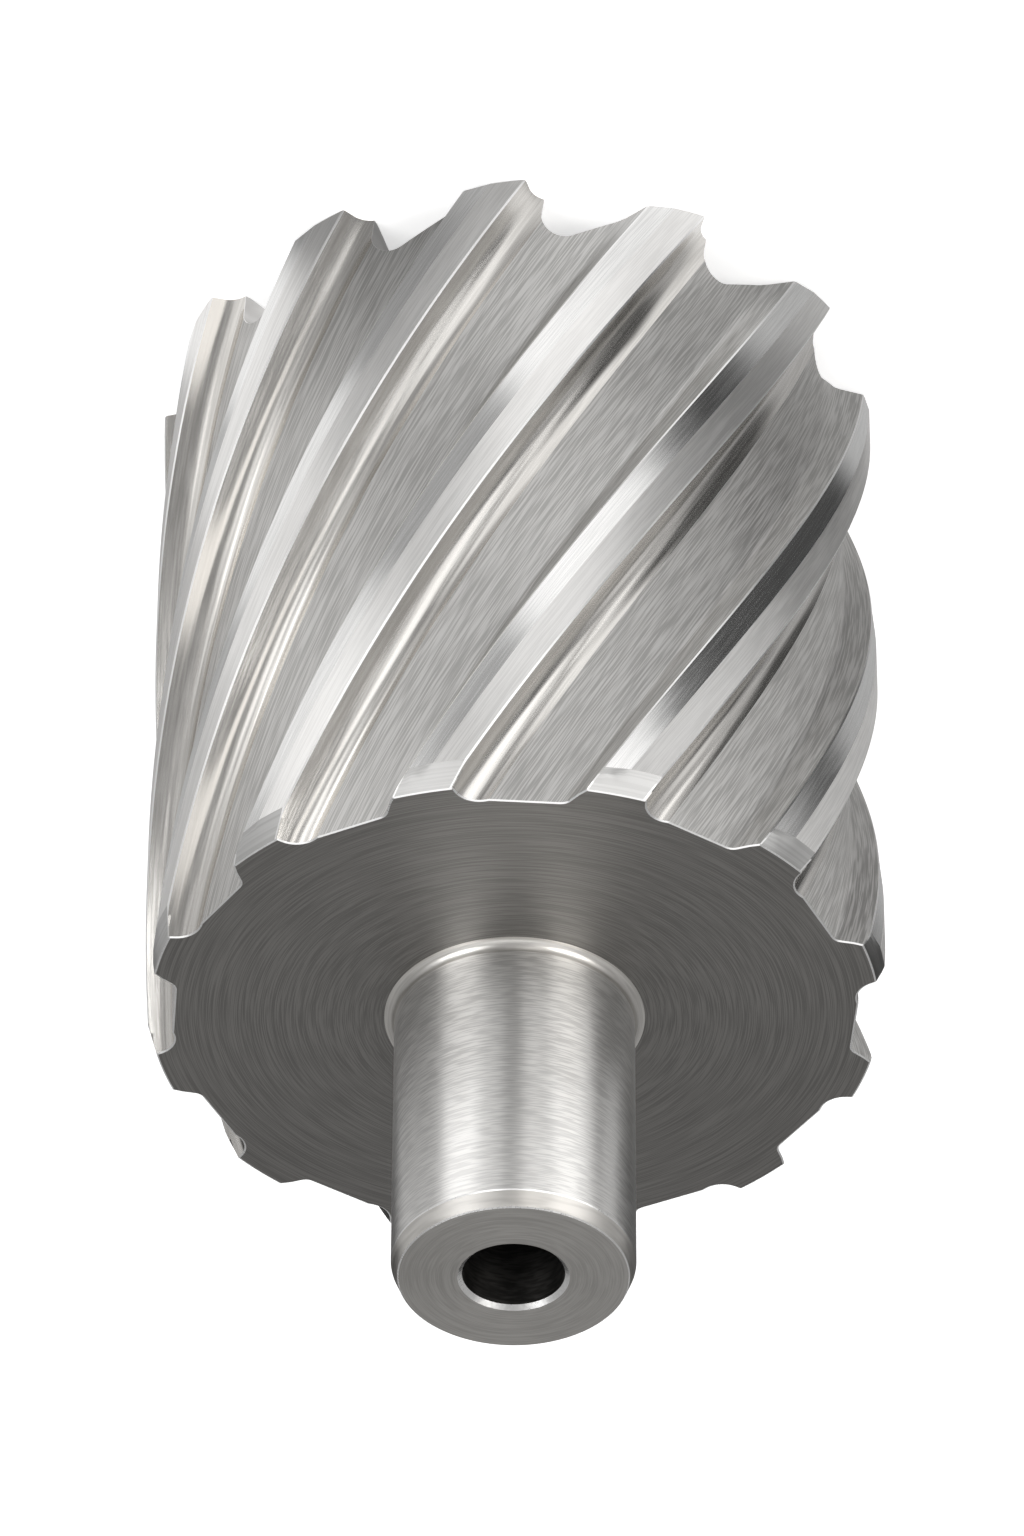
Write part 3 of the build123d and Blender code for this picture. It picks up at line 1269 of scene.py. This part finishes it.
@dataclass(frozen=True)
class FootCard:
    """Pale and dark glowing card laid round the foot, which only the steel sees: its glow paints
    highlights and dark bands into the steel's reflections. Sizes are in metres.
    """

    inner: float = 0.02
    outer: float = 1.2
    height: float = 0.00005
    sides: int = 96
    rings: tuple[CardRing, ...] = (
        CardRing(0.0, 0.0, 0.5, (
            Sector(-112.0, 16.0, 1.0),
            Sector(-63.0, 14.0, 0.32),
            Sector(-30.0, 14.0, 1.0),
        )),
        CardRing(0.036, 0.043, 0.45, (
            Sector(-98.0, 15.0, 1.2),
            Sector(-153.0, 31.0, 0.07),
            Sector(-63.0, 12.0, 0.42),
            Sector(-22.0, 20.0, 0.95),
        )),
        CardRing(0.074, 0.09, 0.6, (
            Sector(-106.0, 20.0, 1.35),
            Sector(-60.0, 12.0, 0.8),
            Sector(-30.0, 20.0, 1.15),
            Sector(135.0, 32.0, 0.2),
        )),
        CardRing(0.096, 0.104, 0.5, (
            Sector(-40.0, 13.0, 2.8),
            Sector(-139.0, 11.0, 1.9),
            Sector(-90.0, 9.0, 0.3, 5.0),
            Sector(100.0, 62.0, 0.04),
        )),
        CardRing(0.122, 0.132, 0.5, (
            Sector(-40.0, 14.0, 1.1),
            Sector(-130.0, 14.0, 0.4),
            Sector(-90.0, 9.0, 0.35, 5.0),
            Sector(-185.0, 8.0, 1.1),
            Sector(100.0, 62.0, 0.04),
        )),
        CardRing(0.18, 0.23, 0.6, (
            Sector(-110.0, 54.0, 1.9),
            Sector(-89.0, 7.0, 0.6, 5.0),
            Sector(-178.0, 14.0, 0.15),
            Sector(95.0, 62.0, 0.04),
        )),
    )

    def build(self) -> None:
        """Makes the card."""
        card, nodes = new_material("glowing_reflection_card")
        place = nodes.add("ShaderNodeTexCoord").outputs["Object"]
        reach = nodes.vector("LENGTH", place)
        way = nodes.vector("NORMALIZE", place)
        tone = self.rings[0].shade(nodes, way)
        for ring in self.rings[1:]:
            share = nodes.spread(reach, ring.start, ring.full)
            tone = nodes.blend(share, tone, ring.shade(nodes, way))
        # The card is no lamp but glows with its tone, which paints highlights and dark bands into
        # the steel's reflections.
        glow = nodes.add("ShaderNodeEmission", {"Strength": tone})
        nodes.add("ShaderNodeOutputMaterial", {"Surface": glow.outputs[0]})
        count = self.sides
        points = [
            polar(radius, 360.0 * side / count, self.height)
            for radius in (self.inner, self.outer)
            for side in range(count)
        ]
        beside = [(side + 1) % count for side in range(count)]
        faces = [(side, side + count, after + count, after) for side, after in enumerate(beside)]
        hide_from_all_but_gloss(stage_prop("foot_card", points, faces, card))


@dataclass(frozen=True)
class Studio:
    """The pale floor, the lamps, the glowing card and the plain surroundings. Sizes are in metres.
    """

    floor_size: float = 8.0
    floor_colour: tuple[float, float, float] = (0.86, 0.86, 0.86)
    floor_glow: float = 0.58
    seen_tone: float = 0.34
    lighting_tone: float = 0.4
    lamps: tuple[SoftBox, ...] = (
        SoftBox("left_softbox", -41.0, 32.0, 0.5, 0.26, 0.2, 5.6),
        SoftBox("right_softbox", -139.0, 32.0, 0.5, 0.26, 0.2, 5.2, (1.0, 0.985, 0.96)),
        SoftBox("front_softbox", -104.0, 11.0, 0.7, 0.2, 0.22, 1.2, (1.0, 0.975, 0.94)),
        SoftBox("top_softbox", 90.0, 86.0, 0.9, 0.8, 0.8, 0.9),
    )

    @staticmethod
    def seen_directly(nodes: NodeTree) -> bpy.types.NodeSocket:
        """Tells what the camera, a gloss or glass sees from what only lights things.

        Args:
            nodes: the tree of the floor's material or of the surroundings.

        Returns:
            1 where it is seen, and 0 where it only lights.
        """
        path = nodes.add("ShaderNodeLightPath").outputs
        through = nodes.math("MAXIMUM", path["Is Glossy Ray"], path["Is Transmission Ray"])
        return nodes.math("MAXIMUM", path["Is Camera Ray"], through)

    def floor(self) -> None:
        """Makes the floor that the cutter stands on."""
        paper, nodes = new_material("pale_floor")
        matt = nodes.add("ShaderNodeBsdfDiffuse", {"Color": (*self.floor_colour, 1.0)})
        strength = nodes.math("MULTIPLY", self.seen_directly(nodes), self.floor_glow)
        glow = nodes.add("ShaderNodeEmission", {"Strength": strength})
        both = nodes.add("ShaderNodeAddShader", {0: matt.outputs[0], 1: glow.outputs[0]})
        nodes.add("ShaderNodeOutputMaterial", {"Surface": both.outputs[0]})
        half = self.floor_size / 2
        corners = ((-half, -half), (half, -half), (half, half), (-half, half))
        points = [Vector((x, y, 0)) for x, y in corners]
        stage_prop("studio_floor", points, [(0, 1, 2, 3)], paper)

    def surroundings(self) -> None:
        """Makes the plain grey room."""
        world = bpy.data.worlds.new("plain_studio")
        bpy.context.scene.world = world
        world.use_nodes = True
        world.node_tree.nodes.clear()
        nodes = NodeTree(world.node_tree)
        tone = nodes.blend(self.seen_directly(nodes), self.lighting_tone, self.seen_tone)
        room = nodes.add("ShaderNodeBackground", {"Color": (1.0, 1.0, 1.0, 1.0), "Strength": tone})
        nodes.add("ShaderNodeOutputWorld", {"Surface": room.outputs[0]})

    def build(self) -> None:
        """Sets the whole studio up."""
        self.floor()
        self.surroundings()
        for lamp in self.lamps:
            lamp.build()
        FootCard().build()
        log.info("studio: floor, %d lamps and a card are up", len(self.lamps))


@dataclass(frozen=True)
class StudioCamera:
    """The camera, where the photograph was taken from. Its place and aim are in millimetres."""

    position: tuple[float, float, float] = (0.294, -554.409, 499.577)
    target: tuple[float, float, float] = (0.294, 0.0, 37.693)
    roll: float = 0.2541
    lens: float = 208.609
    sensor: float = 36.0
    nearest: float = 0.01
    farthest: float = 50.0

    def build(self) -> None:
        """Makes the camera and hands it to the scene."""
        data = bpy.data.cameras.new("studio_camera")
        data.sensor_fit = "VERTICAL"
        data.sensor_height = self.sensor
        data.lens = self.lens
        data.clip_start, data.clip_end = self.nearest, self.farthest
        camera = bpy.data.objects.new("studio_camera", data)
        backward = (Vector(self.position) - Vector(self.target)).normalized()
        right = Vector((-1.0, 0.0, 0.0))
        up = backward.cross(right)
        turn = math.radians(self.roll)
        rolled_right = right * math.cos(turn) + up * math.sin(turn)
        rolled_up = up * math.cos(turn) - right * math.sin(turn)
        axes = Matrix((rolled_right, rolled_up, backward)).transposed().to_4x4()
        camera.matrix_world = Matrix.Translation(Vector(self.position) * MM) @ axes
        bpy.context.collection.objects.link(camera)
        bpy.context.scene.camera = camera


def main() -> None:
    """Builds the cutter, the studio and the camera in order."""
    logging.basicConfig(level=logging.INFO, format="%(name)s: %(message)s")
    cutter = AnnularCutter()
    piece = cutter.build()
    cutter.dress(piece)
    log.info("%s: dressed in %d finishes", piece.name, len(piece.data.materials))
    Studio().build()
    StudioCamera().build()
    bpy.context.scene.view_settings.view_transform = "Standard"


if __name__ == "__main__":
    main()
